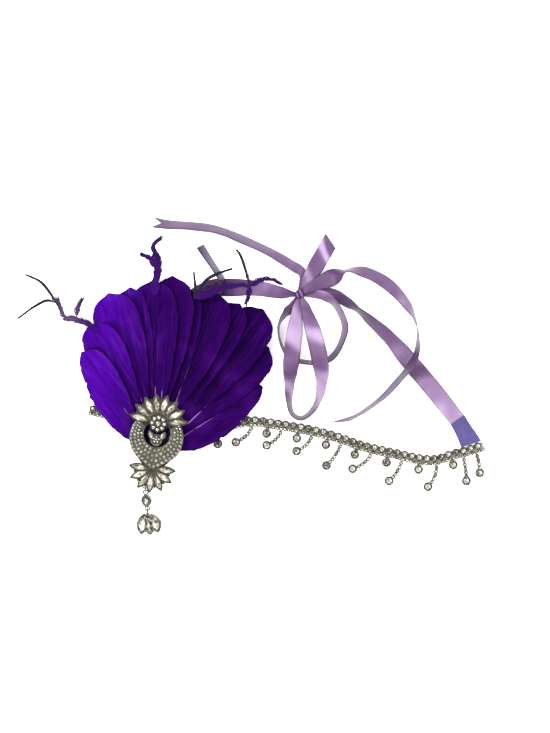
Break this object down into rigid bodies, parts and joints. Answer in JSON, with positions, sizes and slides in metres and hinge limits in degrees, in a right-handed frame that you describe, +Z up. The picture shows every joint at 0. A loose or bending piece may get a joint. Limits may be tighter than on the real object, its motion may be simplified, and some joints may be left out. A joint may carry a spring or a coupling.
{
  "type": "flapper feather headband",
  "caption": "Feather fan headband with a rhinestone brooch and drop, a rhinestone chain and satin ribbon ties, lying flat",
  "frame": {"origin": "the middle of the felt pad's underside, on the surface that the headband lies on", "axes": "+Z up out of the surface, +Y from the pad towards the feathers' tips, +X along the chain towards its free end"},
  "size_m": [0.3174, 0.2153, 0.0199],
  "materials": {
    "pad_felt": "matte felt",
    "feather": "soft feather barbs",
    "wisp": "stripped plume",
    "silver": "plated",
    "crystal": "cut, foil backed",
    "rhinestone": "plated cups with cut stones",
    "satin": "satin",
    "tab_felt": "matte felt"
  },
  "bodies": {
    "root": {"backing_pad": "pad_felt", "feather_1": "feather", "feather_2": "feather", "feather_3": "feather", "feather_4": "feather", "feather_5": "feather", "feather_6": "feather", "feather_7": "feather", "feather_8": "feather", "feather_9": "feather", "feather_10": "feather", "feather_11": "feather", "feather_12": "feather", "feather_front": "feather", "wisp_left": "wisp", "wisp_top": "wisp", "wisp_right": "wisp", "brooch_frame": "silver", "drop_link": "silver", "crest_stone_1": "crystal", "crest_stone_2": "crystal", "crest_stone_3": "crystal", "crest_stone_4": "crystal", "crest_stone_5": "crystal", "crest_stone_6": "crystal", "crest_stone_7": "crystal", "crest_stone_8": "crystal", "lower_stone_1": "crystal", "lower_stone_2": "crystal", "lower_stone_3": "crystal", "lower_stone_4": "crystal", "lower_stone_5": "crystal", "lower_stone_6": "crystal", "lower_stone_7": "crystal", "flower_cluster": "crystal", "inner_petals": "crystal", "drop_connector": "crystal", "drop_bud": "crystal", "crescent_pave": "rhinestone", "chain_left": "rhinestone", "chain_right": "rhinestone", "long_drop_1": "rhinestone", "long_drop_2": "rhinestone", "long_drop_3": "rhinestone", "long_drop_4": "rhinestone", "long_drop_5": "rhinestone", "long_drop_6": "rhinestone", "long_drop_7": "rhinestone", "long_drop_8": "rhinestone", "long_drop_9": "rhinestone", "tie_left": "satin", "tie_right": "satin", "tail_long": "satin", "tail_curl": "satin", "tail_short": "satin", "loop_up": "satin", "loop_down": "satin", "loop_ring": "satin", "bow_knot": "satin", "tab_right": "tab_felt"}
  },
  "joints": []
}
